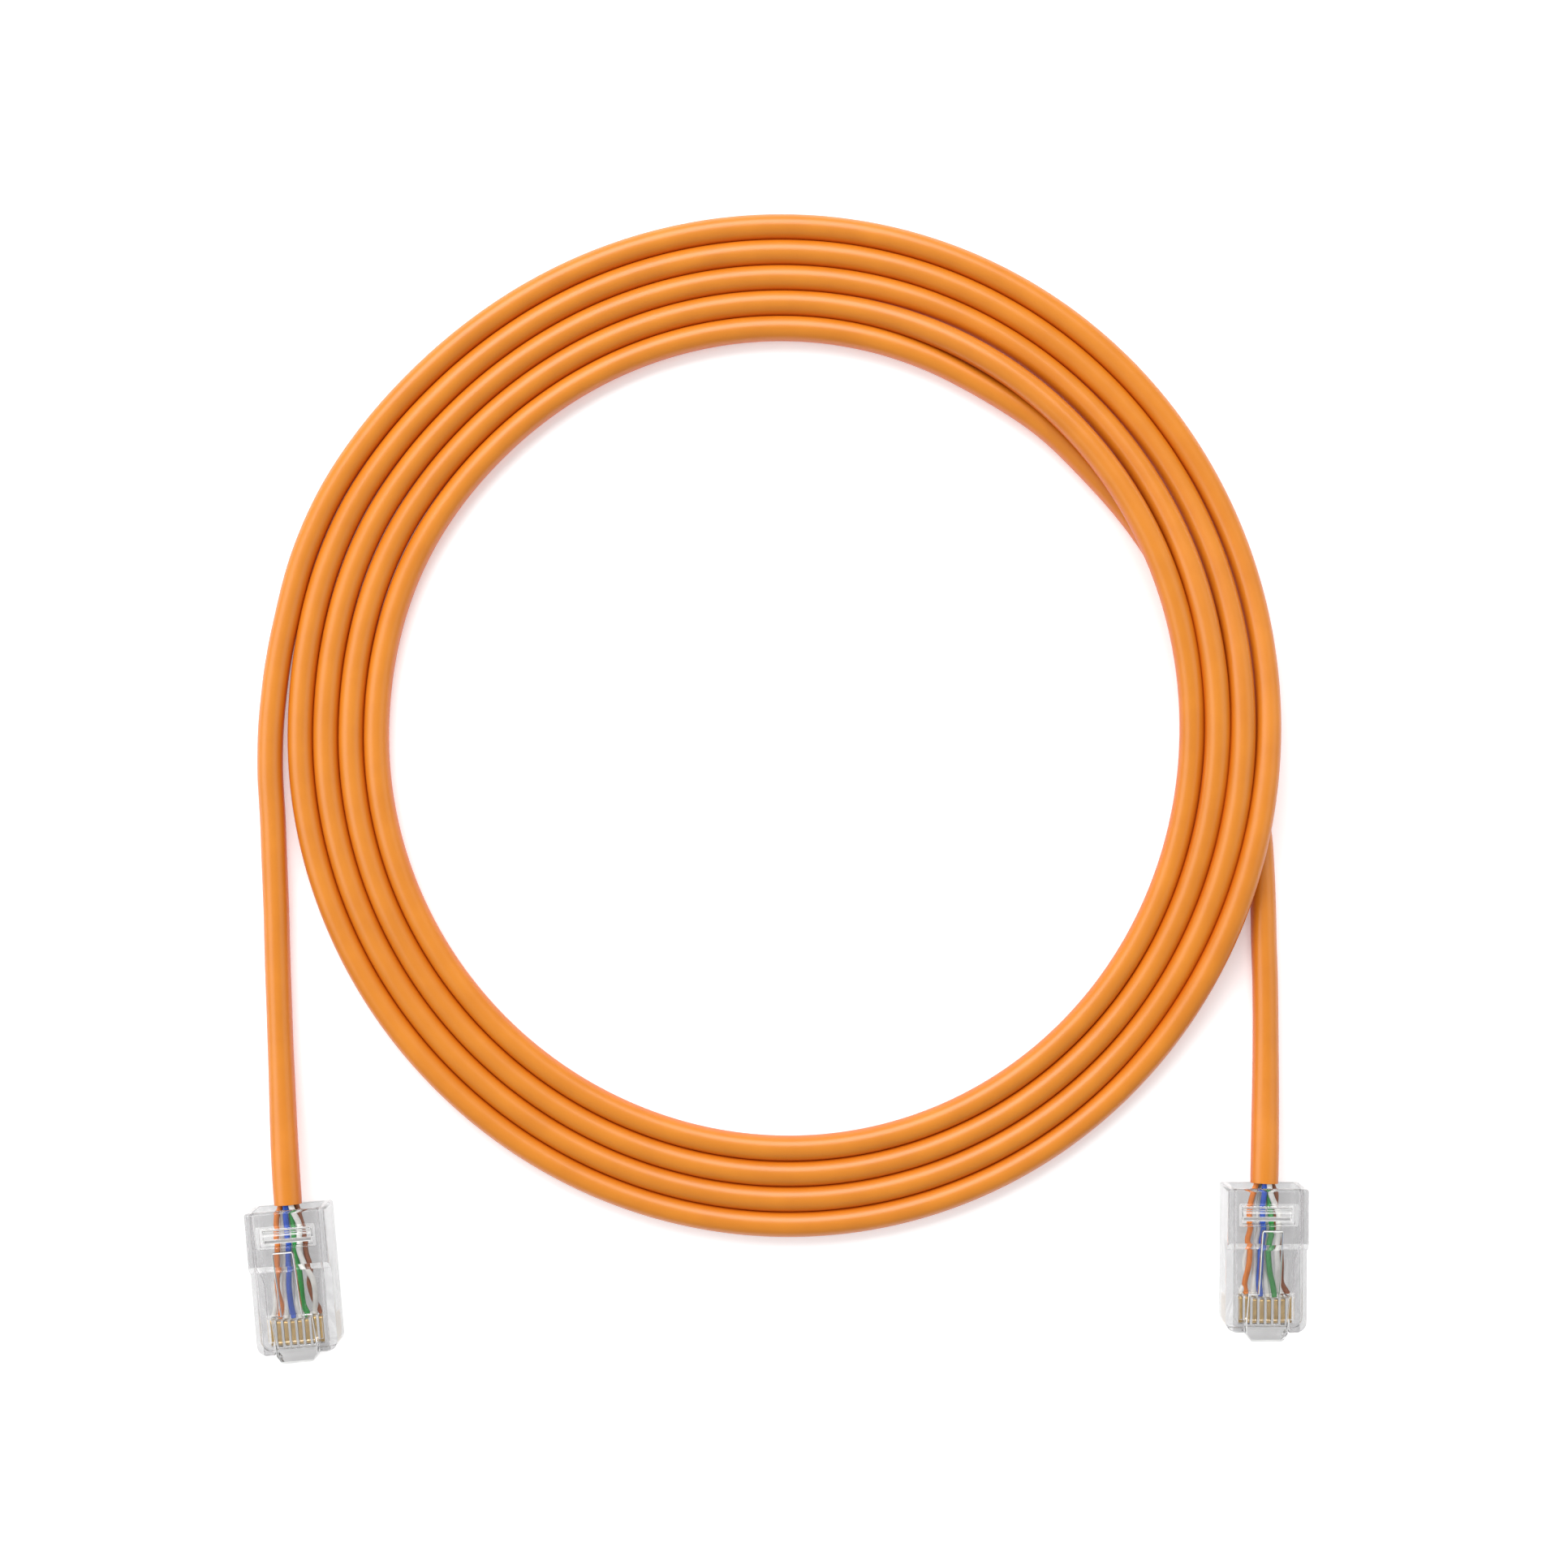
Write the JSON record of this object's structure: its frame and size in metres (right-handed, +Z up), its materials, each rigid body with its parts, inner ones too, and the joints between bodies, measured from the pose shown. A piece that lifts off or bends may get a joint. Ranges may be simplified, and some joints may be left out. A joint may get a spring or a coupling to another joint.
{
  "type": "ethernet patch cord",
  "caption": "Slim orange copper network patch cord wound into a flat coil, with a clear latching modular plug on each end",
  "frame": {"origin": "on the surface the cord lies on, midway between the two plugs (bottom centre of the box round both plugs)", "axes": "+X from plug a towards plug b, +Y from the plugs towards the coil, +Z up; the plugs point towards -Y"},
  "size_m": [0.1532, 0.1667, 0.0113],
  "materials": {
    "jacket": "satin orange PVC",
    "clear_polycarbonate": "clear, glossy, faintly grey",
    "gold_contact": "gold flash over nickel, satin",
    "wire_white": null,
    "wire_orange": "orange insulation",
    "wire_green": "green insulation",
    "wire_blue": "blue insulation",
    "wire_brown": "brown insulation"
  },
  "bodies": {
    "root": {"plug_a_housing": "clear_polycarbonate", "plug_a_clamp_bar": "clear_polycarbonate", "plug_a_contact_1": "gold_contact", "plug_a_contact_2": "gold_contact", "plug_a_contact_3": "gold_contact", "plug_a_contact_4": "gold_contact", "plug_a_contact_5": "gold_contact", "plug_a_contact_6": "gold_contact", "plug_a_contact_7": "gold_contact", "plug_a_contact_8": "gold_contact", "plug_a_wire_1": "wire_white", "plug_a_wire_2": "wire_orange", "plug_a_wire_3": "wire_white", "plug_a_wire_4": "wire_blue", "plug_a_wire_5": "wire_white", "plug_a_wire_6": "wire_green", "plug_a_wire_7": "wire_white", "plug_a_wire_8": "wire_brown", "plug_b_housing": "clear_polycarbonate", "plug_b_clamp_bar": "clear_polycarbonate", "plug_b_contact_1": "gold_contact", "plug_b_contact_2": "gold_contact", "plug_b_contact_3": "gold_contact", "plug_b_contact_4": "gold_contact", "plug_b_contact_5": "gold_contact", "plug_b_contact_6": "gold_contact", "plug_b_contact_7": "gold_contact", "plug_b_contact_8": "gold_contact", "plug_b_wire_1": "wire_white", "plug_b_wire_2": "wire_orange", "plug_b_wire_3": "wire_white", "plug_b_wire_4": "wire_blue", "plug_b_wire_5": "wire_white", "plug_b_wire_6": "wire_green", "plug_b_wire_7": "wire_white", "plug_b_wire_8": "wire_brown", "cord_coil": "jacket", "cord_end_a": "jacket", "cord_end_b": "jacket"},
    "latch_a": {"plug_a_latch": "clear_polycarbonate"},
    "latch_b": {"plug_b_latch": "clear_polycarbonate"}
  },
  "joints": [
    {"name": "latch_a_flex", "type": "hinge", "parent": "root", "child": "latch_a", "pos_m": [-0.06909, -0.01097, 0.0056], "axis": [-0.9963, -0.0854, 0], "range_deg": [0, 7], "stiffness_Nm_per_rad": 0.2},
    {"name": "latch_b_flex", "type": "hinge", "parent": "root", "child": "latch_b", "pos_m": [0.07069, -0.00794, 0.0056], "axis": [-1, 0.0052, 0], "range_deg": [0, 7], "stiffness_Nm_per_rad": 0.2}
  ]
}
